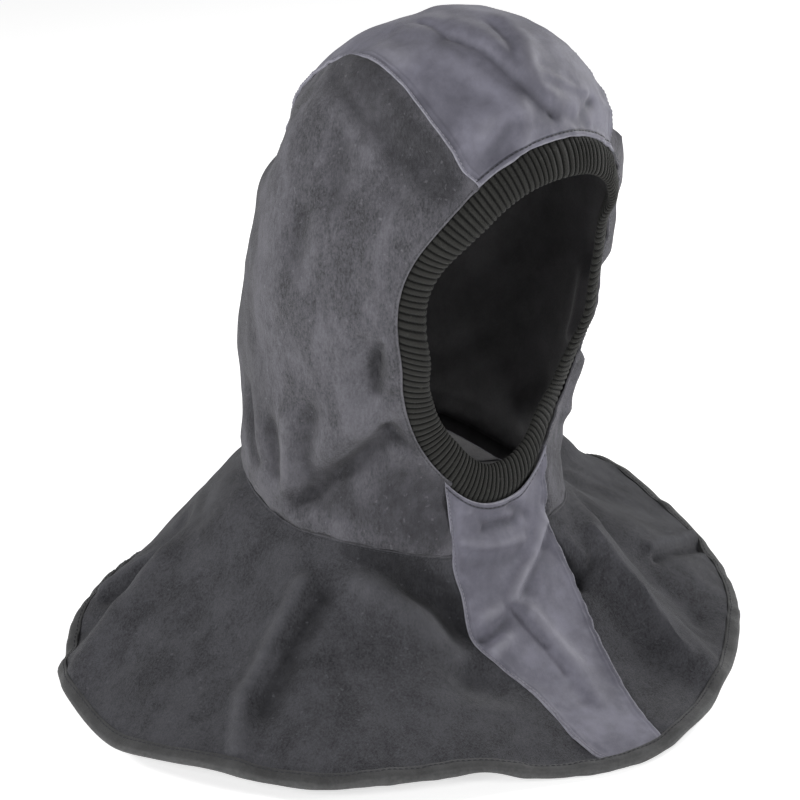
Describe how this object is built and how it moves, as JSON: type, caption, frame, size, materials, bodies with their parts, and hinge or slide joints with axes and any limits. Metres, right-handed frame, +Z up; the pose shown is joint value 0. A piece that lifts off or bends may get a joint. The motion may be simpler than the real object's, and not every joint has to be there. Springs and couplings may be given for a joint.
{
  "type": "welding hood",
  "caption": "Soft cloth welder's hood with a ribbed knit face opening, a smooth crown panel and front strip, and a flared shoulder cape with a bound hem.",
  "frame": {"origin": "inside of the crown, where the hood sits on the top of the head", "axes": "+Z up, -Y the way the face looks, +X the wearer's left"},
  "size_m": [0.411, 0.3557, 0.3804],
  "materials": {
    "smooth_cloth": "matte",
    "brushed_cloth": "matte",
    "ribbed_knit": "matte",
    "binding": "matte"
  },
  "bodies": {
    "root": {"crown_panel": "smooth_cloth", "side_panel_left": "brushed_cloth", "side_panel_right": "brushed_cloth", "face_rib": "ribbed_knit", "front_strip": "smooth_cloth", "cape": "brushed_cloth", "hem_binding": "binding"}
  },
  "joints": []
}
